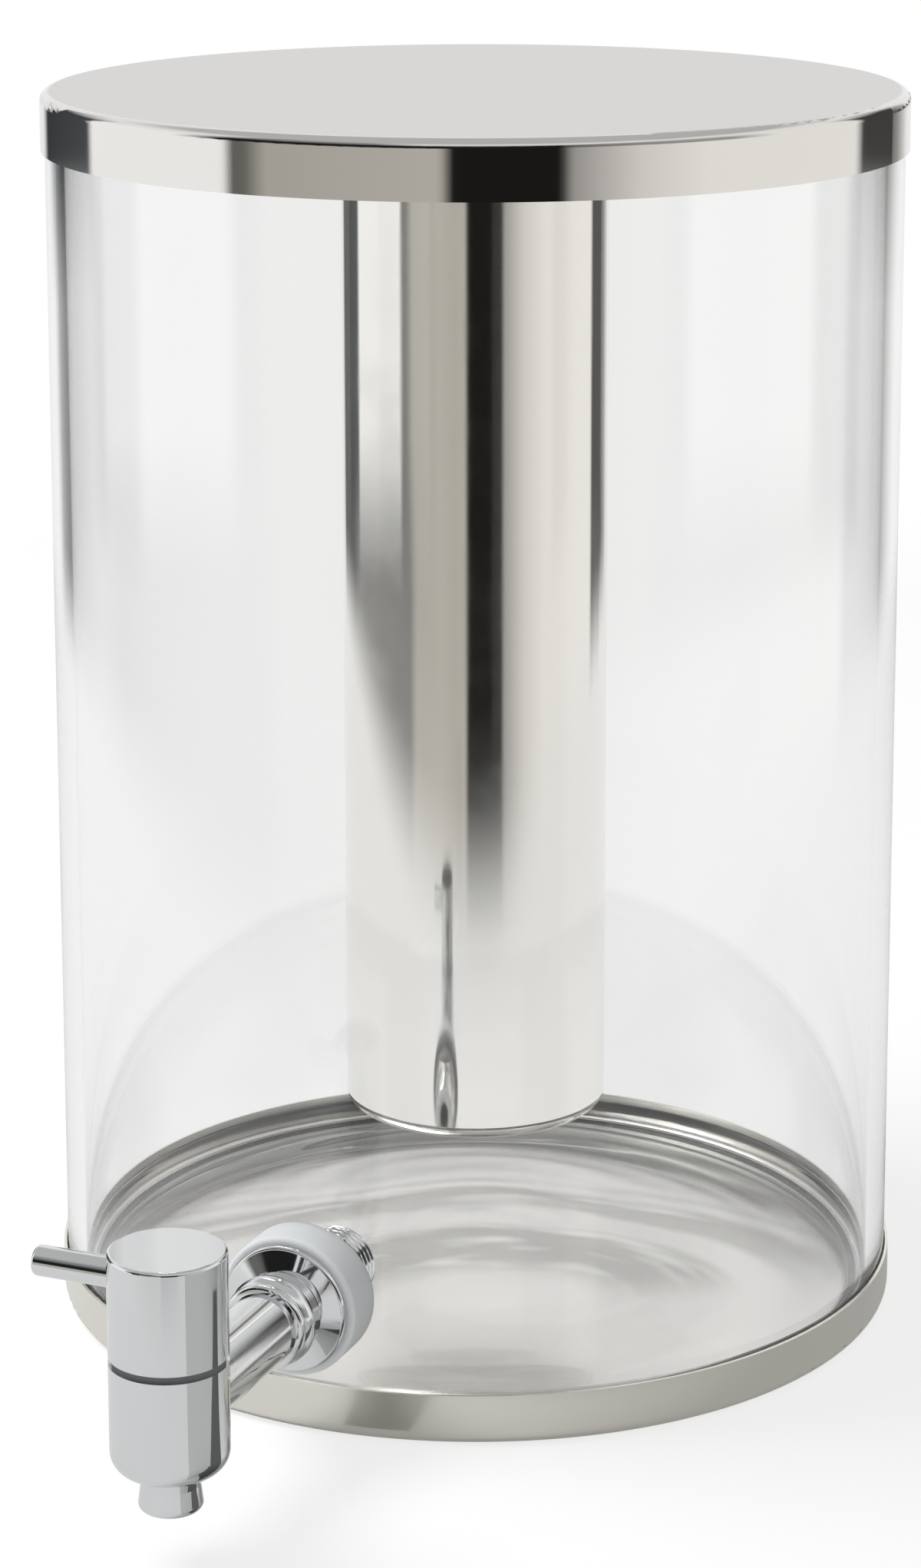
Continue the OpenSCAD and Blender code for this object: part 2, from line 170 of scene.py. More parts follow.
# %% Studio walls
ROOM = [
    (-180, "#ffffff", 0.9), (-158, "#ffffff", 0.9), (-152, "#aeb6bd", 0.10), (-121, "#aeb6bd", 0.16),
    (-118, "#ffffff", 1.05), (-68, "#ffffff", 1.05), (-65, "#f4f1ea", 0.16), (-61, "#f4f1ea", 0.18),
    (-55, "#efebe2", 0.54), (-9, "#efebe2", 0.62), (-6, "#e8e4da", 0.014), (22, "#e8e4da", 0.014),
    (25, "#f5f2ee", 0.42), (43, "#f5f2ee", 0.84), (62, "#fbf9f6", 0.98), (117, "#fbf9f6", 1.0),
    (121, "#fbf9f6", 0.06), (142, "#fbf9f6", 0.06), (147, "#fbf9f6", 0.40), (158, "#ffffff", 0.9),
]
ROOM_LIGHT = 1.2
world = bpy.data.worlds.new("studio")
bpy.context.scene.world = world
world.use_nodes = True
room = world.node_tree
room.nodes.clear()
toward = add(room, "ShaderNodeTexCoord").outputs["Generated"]
turned = add(
    room, "ShaderNodeVectorRotate", {"Vector": toward, "Angle": -CAMERA_TURN}, rotation_type="Z_AXIS"
).outputs["Vector"]
part = add(room, "ShaderNodeSeparateXYZ", {"Vector": turned}).outputs
ahead = add(room, "ShaderNodeMath", {0: part["Y"], 1: -1.0}, operation="MULTIPLY").outputs[0]
bearing = add(room, "ShaderNodeMath", {0: part["X"], 1: ahead}, operation="ARCTAN2").outputs[0]
full_turn = {"From Min": -math.pi, "From Max": math.pi}
around = add(room, "ShaderNodeMapRange", {"Value": bearing, **full_turn}).outputs[0]
walls = add(room, "ShaderNodeValToRGB", {"Fac": around})
wall_stops = []
for degrees, tint, level in ROOM:
    colour = [channel * level / ROOM_LIGHT for channel in linear(tint)[:3]] + [1.0]
    wall_stops.append(((degrees + 180) / 360, colour))
set_stops(walls, wall_stops)
print(len(ROOM), "edges of studio walls")

# %% [markdown]
# Above the horizon the front is an unlit studio that brightens upwards, less so on the left. At the back a
# pale backdrop hangs between the two dark corners, and the ceiling is grey. Below the window on the left
# the wall is grey too. Low in the corners hangs a pale curtain that only mirrors in the open air show, so
# that the edges of the glass stay thin. Masks over the direction of a ray tell these zones apart: X points
# to the right of the picture, Y away from the camera and Z up, and aside is X to either side. In the list
# of zones, each mask goes from its low to its high value while that part of the direction goes from start
# to end.

# %% Masks over the room
ZONES = [
    ("back", "Y", 0.2, 0.5, 0.0, 1.0),
    ("corners", "Y", 0.3, 0.5, 0.0, 1.0),
    ("front", "Y", -0.1, -0.35, 0.0, 1.0),
    ("between corners", "aside", 0.5, 0.4, 0.0, 1.0),
    ("left", "X", -0.2, -0.4, 0.0, 1.0),
    ("far left", "X", -0.76, -0.84, 0.0, 1.0),
    ("less on the right", "X", -0.15, 0.25, 1.0, 0.6),
    ("below the lid", "Z", -0.125, -0.16, 0.0, 1.0),
    ("below the window", "Z", -0.19, -0.225, 0.0, 1.0),
    ("over the table", "Z", -0.03, 0.08, 0.0, 1.0),
    ("over the horizon", "Z", -0.01, 0.04, 0.0, 1.0),
    ("high", "Z", 0.3, 0.55, 0.0, 1.0),
    ("overhead", "Z", 0.58, 0.75, 0.0, 1.0),
]
aside = add(room, "ShaderNodeMath", {0: part["X"]}, operation="ABSOLUTE").outputs[0]
measured = {"X": part["X"], "Y": part["Y"], "Z": part["Z"], "aside": aside}
mask = {}
for name, side, start, end, low, high in ZONES:
    limits = {"From Min": start, "From Max": end, "To Min": low, "To Max": high}
    mask[name] = add(room, "ShaderNodeMapRange", {"Value": measured[side], **limits}).outputs[0]
print(len(mask), "masks over the room")

# %% [markdown]
# Three more masks come from the path of a ray: whether it has met a mirror, whether it came straight
# through the glass, and whether its last turn was in the open air. Then the masks are joined. A product
# holds where both masks hold, and a maximum where one of the two does.

# %% Join the masks
LEFT_DIMMING = 0.3
JOINED = [
    ("backdrop", "MULTIPLY", "back", "between corners"),
    ("backdrop", "MULTIPLY", "backdrop", "over the table"),
    ("curtain", "MULTIPLY", "corners", "below the lid"),
    ("curtain", "MULTIPLY", "curtain", "in the open"),
    ("rise", "MULTIPLY", "high", "less on the left"),
    ("unlit", "MULTIPLY", "front", "over the horizon"),
    ("unlit", "MULTIPLY", "unlit", "less on the right"),
    ("pale", "MAXIMUM", "rise", "backdrop"),
    ("pale", "MAXIMUM", "pale", "straight"),
    ("pale", "MAXIMUM", "pale", "curtain"),
    ("sill", "MULTIPLY", "far left", "below the window"),
    ("ceiling", "MULTIPLY", "overhead", "mirrored"),
]
ray = add(room, "ShaderNodeLightPath").outputs
turns, in_glass = ray["Glossy Depth"], ray["Is Transmission Ray"]
mirrored = add(room, "ShaderNodeMath", {0: turns, 1: 0.5}, operation="GREATER_THAN").outputs[0]
mask["mirrored"] = mirrored
mask["straight"] = add(room, "ShaderNodeMath", {0: 1.0, 1: mirrored}, operation="SUBTRACT").outputs[0]
mask["in the open"] = add(room, "ShaderNodeMath", {0: 1.0, 1: in_glass}, operation="SUBTRACT").outputs[0]
front, left = mask["front"], mask["left"]
front_left = add(room, "ShaderNodeMath", {0: front, 1: left}, operation="MULTIPLY").outputs[0]
dimming = {"To Min": 1.0, "To Max": LEFT_DIMMING}
mask["less on the left"] = add(room, "ShaderNodeMapRange", {"Value": front_left, **dimming}).outputs[0]
for name, joint, first, second in JOINED:
    mask[name] = add(room, "ShaderNodeMath", {0: mask[first], 1: mask[second]}, operation=joint).outputs[0]
print("room of", len(room.nodes), "nodes")

# %% What each kind of ray sees
PAINT = [("sill", 0.16), ("unlit", 0.012), ("pale", 0.77), ("ceiling", 0.45)]
EVEN_LIGHT = 0.5
inside = walls.outputs["Color"]
for name, level in PAINT:
    grey = [level, level, level, 1.0]
    inside = add(room, "ShaderNodeMix", {0: mask[name], 6: inside, 7: grey}, data_type="RGBA").outputs[2]
shiny = add(room, "ShaderNodeMath", {0: ray["Is Glossy Ray"], 1: in_glass}, operation="MAXIMUM").outputs[0]
even = add(room, "ShaderNodeBackground", {"Color": linear("#ffffff"), "Strength": EVEN_LIGHT}).outputs[0]
shown = add(room, "ShaderNodeBackground", {"Color": inside, "Strength": ROOM_LIGHT}).outputs[0]
white = add(room, "ShaderNodeBackground", {"Color": linear("#ffffff"), "Strength": 1.0}).outputs[0]
seen = add(room, "ShaderNodeMixShader", {0: shiny, 1: even, 2: shown}).outputs[0]
seen = add(room, "ShaderNodeMixShader", {0: ray["Is Camera Ray"], 1: seen, 2: white}).outputs[0]
add(room, "ShaderNodeOutputWorld", {"Surface": seen})
print("world", world.name, "is the room")

# %% [markdown]
# The jar stands on a round white table, whose middle lies a little behind it. Low on the object the metal
# mirrors the table, and higher up it mirrors the walls beyond the table's edge, which fades out softly. To
# the eye the table is nearly as white as the background and keeps the object's shadow.

# %% Table
TABLE_R, TABLE_FADE, TABLE_BACK = 660 * MM, 450 * MM, 200 * MM
table_mesh = bpy.data.meshes.new("table")
shape = bmesh.new()
bmesh.ops.create_circle(shape, cap_ends=True, segments=128, radius=TABLE_R)
shape.to_mesh(table_mesh)
shape.free()
table = bpy.data.objects.new("table", table_mesh)
table.location = Matrix.Rotation(CAMERA_TURN, 3, "Z") @ Vector((0, TABLE_BACK, 0))
bpy.context.scene.collection.objects.link(table)
print("table", round(2 * TABLE_R, 2), "m across")


# %% Table finish
def glowing_white(tree, glow, shade):
    """A white with a glow of its own and a share of shade."""
    own = add(tree, "ShaderNodeEmission", {"Color": linear("#ffffff"), "Strength": glow}).outputs[0]
    matt = add(tree, "ShaderNodeBsdfDiffuse", {"Color": [shade, shade, shade, 1.0]}).outputs[0]
    return add(tree, "ShaderNodeAddShader", {0: own, 1: matt}).outputs[0]


EYE_GLOW, EYE_SHADE = 0.74, 0.27
MIRROR_GLOW, MIRROR_SHADE = 0.17, 0.56
GLASS_GLOW = 0.92
lacquer, tree, shader = new_finish("white_lacquer_table", Base_Color=linear("#f2f2f0"), Roughness=0.6)
ray = add(tree, "ShaderNodeLightPath").outputs
looks = {
    "Is Glossy Ray": glowing_white(tree, MIRROR_GLOW, MIRROR_SHADE),
    "Is Transmission Ray": glowing_white(tree, GLASS_GLOW, 0.0),
    "Is Camera Ray": glowing_white(tree, EYE_GLOW, EYE_SHADE),
}
mixed = shader.outputs[0]
for kind, look in looks.items():
    mixed = add(tree, "ShaderNodeMixShader", {0: ray[kind], 1: mixed, 2: look}).outputs[0]
spot = add(tree, "ShaderNodeTexCoord").outputs["Object"]
from_middle = add(tree, "ShaderNodeVectorMath", {0: spot}, operation="LENGTH").outputs["Value"]
edge = add(
    tree, "ShaderNodeMapRange",
    {"Value": from_middle, "From Min": TABLE_FADE, "From Max": TABLE_R},
    interpolation_type="SMOOTHSTEP",
).outputs[0]
open_air = add(tree, "ShaderNodeBsdfTransparent").outputs[0]
mixed = add(tree, "ShaderNodeMixShader", {0: edge, 1: mixed, 2: open_air}).outputs[0]
tree.links.new(mixed, tree.nodes["Material Output"].inputs["Surface"])
table.data.materials.append(lacquer)
print(lacquer.name, "on", table.name)

# %% [markdown]
# The right sides of the tap mirror something darker than the table: the shade that the tap, its pipe and
# the jar cast on it. Three sheets of painted shade stand in for it. They show in mirrors only, and lie clear
# of the table by a tenth of a millimetre or two.


# %% Painted shade beside the tap, seen in mirrors
def shade_sheet(name, corners, height, tint):
    """A sheet of painted shade over the table that shows in mirrors only; corners and height in mm."""
    mesh = bpy.data.meshes.new(name)
    mesh.from_pydata([(x * MM, y * MM, height * MM) for x, y in corners], [], [range(len(corners))])
    obj = bpy.data.objects.new(name, mesh)
    bpy.context.scene.collection.objects.link(obj)
    obj.visible_camera = False
    obj.visible_transmission = False
    obj.visible_diffuse = False
    obj.visible_shadow = False
    material, _, _ = new_finish(name, Base_Color=linear(tint), Roughness=0.7)
    mesh.materials.append(material)
    print(name, "with", len(corners), "corners")


# Painted shade: these sheets stand in, in mirrors, for the shadow of the tap, its pipe and the jar on the
# table.
GREY_SHADE_CORNERS = [(17, -164), (273, -321), (420, 100), (120, 40), (115, -49)]
DARK_SHADE_CORNERS = [
    (12, -150), (28, -128), (62, -105), (88, -84), (112, -62), (128, -85), (80, -128), (30, -160),
]
MIDDLE_SHADE_CORNERS = [(7, -150), (7, -97), (22, -95), (36, -122), (28, -128), (12, -150)]
shade_sheet("grey_painted_shade", GREY_SHADE_CORNERS, 0.1, "#c2c2c1")
shade_sheet("middle_painted_shade", MIDDLE_SHADE_CORNERS, 0.15, "#c4c4c2")
shade_sheet("dark_painted_shade", DARK_SHADE_CORNERS, 0.2, "#585858")

# %% [markdown]
# One large soft lamp hangs overhead, to the left, and a weak one stands on the right. Mirrors do not show
# them: the room above already gives the metal its light.

# %% Lamps
JAR_MIDDLE = Vector((0, 0, 120 * MM))


def softbox(name, place, size, power):
    """A square lamp that faces the middle of the jar."""
    lamp = bpy.data.lights.new(name, "AREA")
    lamp.size = size
    lamp.energy = power
    obj = bpy.data.objects.new(name, lamp)
    obj.location = place
    obj.rotation_euler = (JAR_MIDDLE - Vector(place)).to_track_quat("-Z", "Y").to_euler()
    obj.visible_glossy = False
    bpy.context.scene.collection.objects.link(obj)
    print(name, "of", power, "W")


softbox("overhead_softbox", (-0.7, -0.2, 1.25), 0.7, 14.0)
softbox("side_softbox", (1.3, -0.5, 0.9), 0.6, 0.7)

# %% [markdown]
# ## Glass
# The jar is soda-lime glass, blown in a mould: clear, very slightly wavy, and with soft rings left in its
# thin bottom, which curves up a little towards the wall. The CAD solid is smooth and made of flat facets,
# so the glass is made again as a fine grid that goes round the jar, with rings that wander as they go
# round. The tap's hole is cut last.


# %% A grid that goes round an axis
def turned_mesh(name, rows, around, point, closed=True):
    """A mesh of rows x around points; point(row, turn) gives each one, and turn runs from 0 to 2 pi.
    A closed mesh joins its last row to its first, and an open one gets a flat face at both ends."""
    shape = bmesh.new()
    grid = []
    for row in range(rows):
        grid.append([shape.verts.new(point(row, 2 * math.pi * i / around)) for i in range(around)])
    last = rows if closed else rows - 1
    for row in range(last):
        low, high = grid[row], grid[(row + 1) % rows]
        for i in range(around):
            k = (i + 1) % around
            shape.faces.new((low[i], low[k], high[k], high[i]))
    if not closed:
        shape.faces.new(grid[0])
        shape.faces.new(grid[-1])
    bmesh.ops.recalc_face_normals(shape, faces=shape.faces)
    mesh = bpy.data.meshes.new(name)
    shape.to_mesh(mesh)
    shape.free()
    for face in mesh.polygons:
        face.use_smooth = True
    obj = bpy.data.objects.new(name, mesh)
    bpy.context.scene.collection.objects.link(obj)
    return obj


def arc(middle, radius, start, end, steps):
    """Points of an arc in the outline's plane, angles in degrees."""
    turns = [math.radians(start + (end - start) * i / steps) for i in range(steps + 1)]
    return [(middle[0] + radius * math.cos(t), middle[1] + radius * math.sin(t)) for t in turns]


# %% Outline of the glass
jar_low, jar_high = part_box("glass_jar")
GLASS_R = jar_high.x / MM
GLASS_Z = jar_low.z / MM
RIM_Z = jar_high.z / MM
WALL, FLOOR, FOOT, HEEL = 4.0, 4.0, 4.0, 4.0
BORE_R = GLASS_R - WALL
FLOOR_Z = GLASS_Z + FLOOR
CENTRE_R = 0.4
UNDER_STEPS, FOOT_STEPS, WALL_STEPS, RIM_STEPS = 24, 10, 40, 12
HEEL_STEPS, FLOOR_STEPS = 12, 160


def steps_between(first, last, count):
    """Even points between two corners of the outline, without the first."""
    return [
        (first[0] + (last[0] - first[0]) * i / count, first[1] + (last[1] - first[1]) * i / count)
        for i in range(1, count + 1)
    ]


outline = [(CENTRE_R, GLASS_Z)]
outline += steps_between(outline[-1], (GLASS_R - FOOT, GLASS_Z), UNDER_STEPS)
outline += arc((GLASS_R - FOOT, GLASS_Z + FOOT), FOOT, -90, 0, FOOT_STEPS)[1:]
outline += steps_between(outline[-1], (GLASS_R, RIM_Z - WALL / 2), WALL_STEPS)
outline += arc((GLASS_R - WALL / 2, RIM_Z - WALL / 2), WALL / 2, 0, 180, RIM_STEPS)[1:]
outline += steps_between(outline[-1], (BORE_R, FLOOR_Z + HEEL), WALL_STEPS)
outline += arc((BORE_R - HEEL, FLOOR_Z + HEEL), HEEL, 0, -90, HEEL_STEPS)[1:]
outline += steps_between(outline[-1], (CENTRE_R, FLOOR_Z), FLOOR_STEPS)
print("glass outline of", len(outline), "points, wall", WALL, "mm, bottom", FLOOR, "mm")

# %% Spin the glass, with soft rings in its bottom
GLASS_AROUND = 288
DISH_R, DISH_RISE = 62.0, 0.0019
WIDE_RING, WIDE_HIGH, FINE_RING, FINE_HIGH = 24.0, 0.14, 9.0, 0.02
WANDERING = [(4.5, 1, 0.7), (2.5, 2, 2.1), (1.2, 5, 0.4)]
FINE_WANDER, FINE_SWAY = -0.6, 1.8
FADE_IN, FADE_OUT, FRONT_SHARE = 22, 8, 0.15


def floor_rings(r, turn):
    """Height in mm that the moulded rings add to the glass bottom at a radius and turn."""
    fade = min(1.0, r / FADE_IN) * min(1.0, max(0.0, (BORE_R - HEEL - r) / FADE_OUT))
    back = 0.5 + 0.5 * math.cos(turn + CAMERA_TURN)
    wander = sum(size * math.sin(times * turn + start) for size, times, start in WANDERING)
    sway = FINE_SWAY * math.sin(3 * turn)
    wide = WIDE_HIGH * math.sin(2 * math.pi * (r + wander) / WIDE_RING)
    fine = FINE_HIGH * math.sin(2 * math.pi * (r + FINE_WANDER * wander) / FINE_RING + sway)
    return fade * (FRONT_SHARE + (1 - FRONT_SHARE) * back) * (wide + fine)


def dish(r):
    """Height in mm by which the inner bottom curves up towards the wall."""
    return DISH_RISE * max(0.0, r - DISH_R) ** 2


def glass_point(row, turn):
    """A point of the glass: the outline, with a dish and rings on the inner bottom."""
    r, z = outline[row]
    rows_left = len(outline) - 1 - row
    if rows_left < FLOOR_STEPS + HEEL_STEPS:
        z += dish(r)
    if rows_left < FLOOR_STEPS:
        z += floor_rings(r, turn)
    return Vector((r * math.sin(turn), r * math.cos(turn), z)) * MM


glass = turned_mesh("blown_glass_jar", len(outline), GLASS_AROUND, glass_point, closed=False)
print("glass of", len(glass.data.vertices), "points")

# %% Cut the tap's hole
TAP_Z = (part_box("tap_shank")[0].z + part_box("tap_shank")[1].z) / 2
HOLE_R, DRILL_FROM, DRILL_LONG = 8.5 * MM, 75 * MM, 25 * MM
DRILL_AROUND = 96
SHARP_GLASS = math.radians(40)


def drill_point(row, turn):
    """A point of the drill, which lies along the tap's axis."""
    across, up = HOLE_R * math.cos(turn), HOLE_R * math.sin(turn)
    return Vector((across, -(DRILL_FROM + DRILL_LONG * row), TAP_Z + up))


drill = turned_mesh("drill", 2, DRILL_AROUND, drill_point, closed=False)
cut = glass.modifiers.new("tap_hole", "BOOLEAN")
cut.object = drill
cut.solver = "EXACT"
bpy.context.view_layer.update()
drilled = bpy.data.meshes.new_from_object(glass.evaluated_get(bpy.context.evaluated_depsgraph_get()))
glass.modifiers.clear()
glass.data = drilled
glass.data.set_sharp_from_angle(angle=SHARP_GLASS)
bpy.data.objects.remove(drill)
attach(glass, "jar")
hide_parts("glass_jar")
print("glass has", len(glass.data.polygons), "faces")

# %% [markdown]
# Soda-lime glass bends light with an index of 1.52. Four surfaces lie between the eye and the backdrop,
# and each mirrors about four percent, which is why the backdrop looks a little grey through the jar. A
# very weak, wide bump gives the slight unevenness of blown glass.

# %% Soda-lime glass
GLASS_WAVE = 38 * MM
glass_finish, tree, shader = new_finish(
    "blown_soda_lime_glass", Base_Color=linear("#fdfdfd"), Roughness=0.0, IOR=1.52, Transmission_Weight=1.0
)
place = add(tree, "ShaderNodeTexCoord").outputs["Object"]
waves = add(tree, "ShaderNodeTexNoise", {"Vector": place, "Scale": 1 / GLASS_WAVE, "Detail": 1.0}).outputs[0]
uneven = add(tree, "ShaderNodeBump", {"Height": waves, "Strength": 0.02, "Distance": 0.6 * MM})
tree.links.new(uneven.outputs["Normal"], shader.inputs["Normal"])
glass.data.materials.clear()
glass.data.materials.append(glass_finish)
print(glass_finish.name, "on", glass.name)

# %% [markdown]
# ## Screw thread
# The tap's shank is chromed brass, with a thread on the part that passes the glass. In CAD a plain cylinder
# stands in for the thread. Here one grid makes the whole shank: its radius follows the outline, and on the
# threaded part it also depends on how far round the shank a point lies, which winds the ridges into a
# helix.

# %% Outline of the shank
shank_low, shank_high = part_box("tap_shank")
flange_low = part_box("tap_flange")[0]
SHANK_END = -shank_high.y / MM
SPIGOT_END = -shank_low.y / MM
COLLAR = -flange_low.y / MM
COLLAR_LONG = 10.0
PIPE = COLLAR + COLLAR_LONG
THREAD_R, PITCH, DEPTH, LEAD_IN, PASSAGE_R = 7.95, 1.5, 0.75, 1.2, 3.7
CREST, FLANK = 1.35, 3.2
BEAD_AT, BEAD_R, BEAD_OUT = COLLAR + 5.0, 2.5, 9.5
NECK_R, STEP_AT, STEP_R, TAIL_R, SPIGOT_R = 8.5, PIPE - 1.8, 0.9, 7.4, 6.1
THREAD_STEP, COLLAR_STEP, PIPE_STEP = 0.125, 0.1, 0.01
stations = [SHANK_END + THREAD_STEP * i for i in range(int((COLLAR - SHANK_END) / THREAD_STEP))]
stations += [COLLAR + COLLAR_STEP * i for i in range(round(COLLAR_LONG / COLLAR_STEP) + 1)]
stations += [PIPE + PIPE_STEP, SPIGOT_END]
print(len(stations), "stations along the shank")


def shank_radius(s, turn):
    """Radius of the shank in mm, at a distance s from the jar's axis."""
    if s > PIPE:
        return SPIGOT_R
    if s >= COLLAR:
        r = NECK_R if s < STEP_AT else TAIL_R
        if abs(s - BEAD_AT) < BEAD_R:
            r = max(r, BEAD_OUT - BEAD_R + math.sqrt(BEAD_R ** 2 - (s - BEAD_AT) ** 2))
        if abs(s - STEP_AT) < STEP_R:
            r = max(r, NECK_R - STEP_R / 2 + math.sqrt(STEP_R ** 2 - (s - STEP_AT) ** 2))
        return r
    climb = ((s - SHANK_END) / PITCH - turn / (2 * math.pi)) % 1.0
    ridge = min(1.0, max(0.0, CREST - FLANK * abs(climb - 0.5)))
    grown = min(1.0, (s - SHANK_END) / LEAD_IN)
    return THREAD_R - DEPTH * (1 - ridge * grown)


# %% Wind the thread
SHANK_AROUND = 96
SHARP_SHANK = math.radians(50)


def shank_point(row, turn):
    """A point of the shank: outside first, then back through the passage."""
    if row < len(stations):
        s, r = stations[row], shank_radius(stations[row], turn)
    else:
        s, r = (SPIGOT_END, SHANK_END)[row - len(stations)], PASSAGE_R
    return Vector((r * math.sin(turn), -s, TAP_Z / MM + r * math.cos(turn))) * MM


shank = turned_mesh("threaded_shank", len(stations) + 2, SHANK_AROUND, shank_point)
shank.data.set_sharp_from_angle(angle=SHARP_SHANK)
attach(shank, "jar")
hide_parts("tap_shank")
print("thread of", round((COLLAR - SHANK_END) / PITCH, 1), "turns")

# %% [markdown]
# ## Polished and satin steel
# Lid, tube and base are stainless steel sheet. Its colour is a pale, slightly warm grey. Mirror polish
# keeps the roughness low; a satin face has fine scratches that spread each reflection. The scratches are
# drawn 0.3 to 0.5 mm apart, coarser than the real ones, so that they show. The small steel pieces, such as
# the nut inside the jar, get one of the two finishes, and lid, tube and base get their own further down.


# %% Where a point lies, and scratches
def from_axis(tree):
    """A piece's coordinates, their parts, the place seen from above and its distance from the axis."""
    place = add(tree, "ShaderNodeTexCoord").outputs["Object"]
    axis = add(tree, "ShaderNodeSeparateXYZ", {"Vector": place}).outputs
    flat = add(tree, "ShaderNodeCombineXYZ", {"X": axis["X"], "Y": axis["Y"]}).outputs[0]
    radius = add(tree, "ShaderNodeVectorMath", {0: flat}, operation="LENGTH").outputs["Value"]
    return place, axis, flat, radius


def scratches(tree, across, along):
    """Level streaks: across is their spacing up the piece and along is their length, in mm."""
    place = add(tree, "ShaderNodeTexCoord").outputs["Object"]
    spacing = [1 / (side * MM) for side in (along, along, across)]
    grain = add(tree, "ShaderNodeMapping", {"Vector": place, "Scale": spacing}).outputs[0]
    return add(tree, "ShaderNodeTexNoise", {"Vector": grain, "Scale": 1.0, "Detail": 3.0}).outputs[0]


# %% Polished stainless steel
STEEL = linear("#e2e0dd")
polished, tree, shader = new_finish(
    "polished_stainless_sheet", Base_Color=STEEL, Metallic=1.0, Roughness=0.06
)
streak = scratches(tree, 0.5, 30)
gloss = add(tree, "ShaderNodeMapRange", {"Value": streak, "To Min": 0.04, "To Max": 0.09}).outputs[0]
tree.links.new(gloss, shader.inputs["Roughness"])
dress(polished, "lock_nut")

# %% Satin stainless steel
satin, tree, shader = new_finish("satin_stainless_sheet", Base_Color=STEEL, Metallic=1.0, Roughness=0.3)
streak = scratches(tree, 0.3, 40)
gloss = add(tree, "ShaderNodeMapRange", {"Value": streak, "To Min": 0.22, "To Max": 0.36}).outputs[0]
tree.links.new(gloss, shader.inputs["Roughness"])
lines = add(tree, "ShaderNodeBump", {"Height": streak, "Strength": 0.08, "Distance": 0.05 * MM})
tree.links.new(lines.outputs["Normal"], shader.inputs["Normal"])
dress(satin, "nut_washer", "gland_ring", "tube_socket", "tube_neck")

# %% [markdown]
# The lid is pressed from one sheet: its flat top is satin, its skirt is mirror polished, and the finish
# changes on the rounded edge. A mask made from the height and the radius of each point tells the two
# apart.

# %% Pressed lid: satin top, polished skirt
SATIN_FROM, SATIN_FULL, SATIN_DEEP = 1.2 * MM, 2.2 * MM, 1.5 * MM
GRIT = 0.6 * MM
lid_steel, tree, shader = new_finish("pressed_lid_steel", Base_Color=STEEL, Metallic=1.0, Roughness=0.06)
place, axis, _, radius = from_axis(tree)
lid_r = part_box("lid_shell")[1].x
limits = {"From Min": lid_r - SATIN_FROM, "From Max": lid_r - SATIN_FULL}
inner = add(tree, "ShaderNodeMapRange", {"Value": radius, **limits}).outputs[0]
satin_z = cad_box[1].z - SATIN_DEEP
high = add(tree, "ShaderNodeMath", {0: axis["Z"], 1: satin_z}, operation="GREATER_THAN").outputs[0]
top = add(tree, "ShaderNodeMath", {0: inner, 1: high}, operation="MULTIPLY").outputs[0]
grit = add(tree, "ShaderNodeTexNoise", {"Vector": place, "Scale": 1 / GRIT, "Detail": 2.0}).outputs[0]
matt = add(tree, "ShaderNodeMapRange", {"Value": grit, "To Min": 0.36, "To Max": 0.46}).outputs[0]
gloss = add(tree, "ShaderNodeMix", {0: top, 2: 0.05, 3: matt}).outputs[0]
tree.links.new(gloss, shader.inputs["Roughness"])
tint = add(tree, "ShaderNodeMix", {0: top, 6: STEEL, 7: linear("#eae8e6")}, data_type="RGBA").outputs[2]
tree.links.new(tint, shader.inputs["Base Color"])
dress(lid_steel, "lid_shell")

# %% [markdown]
# The ice tube is rolled from the same sheet and polished by hand on a belt, so its mirror is not quite
# true: long, weak waves run down it and bend the stripes of the room, and a few smudges are a little less
# glossy. The waves are drawn in object space, stretched along the tube.

# %% Hand-polished tube
WAVE_WIDTH, WAVE_LENGTH, SMUDGE = 9 * MM, 70 * MM, 22 * MM
tube_steel, tree, shader = new_finish(
    "rolled_tube_steel", Base_Color=linear("#f3f2ee"), Metallic=1.0, Roughness=0.07
)
place = add(tree, "ShaderNodeTexCoord").outputs["Object"]
spacing = [1 / WAVE_WIDTH, 1 / WAVE_WIDTH, 1 / WAVE_LENGTH]
stretched = add(tree, "ShaderNodeMapping", {"Vector": place, "Scale": spacing}).outputs[0]
waves = add(tree, "ShaderNodeTexNoise", {"Vector": stretched, "Scale": 1.0, "Detail": 1.0}).outputs[0]
bent = add(tree, "ShaderNodeBump", {"Height": waves, "Strength": 0.12, "Distance": 0.12 * MM})
tree.links.new(bent.outputs["Normal"], shader.inputs["Normal"])
smudge = add(tree, "ShaderNodeTexNoise", {"Vector": place, "Scale": 1 / SMUDGE, "Detail": 3.0}).outputs[0]
gloss = add(
    tree, "ShaderNodeMapRange",
    {"Value": smudge, "From Min": 0.45, "From Max": 0.75, "To Min": 0.05, "To Max": 0.14},
).outputs[0]
tree.links.new(gloss, shader.inputs["Roughness"])
dress(tube_steel, "ice_tube", "tube_bottom")

# %% [markdown]
# The base cup has the same sheet, brushed along its band and satin on its inner wall. Its floor, under the
# glass, gets a painted reflection: broad crescents, darker and lighter, painted into its colour towards the
# back. They are drawn as rings round a point in front of the jar's axis: a ramp gives the dark and light
# rings, a slow noise makes them wander, and a finer one, stretched round the rings, breaks them up.

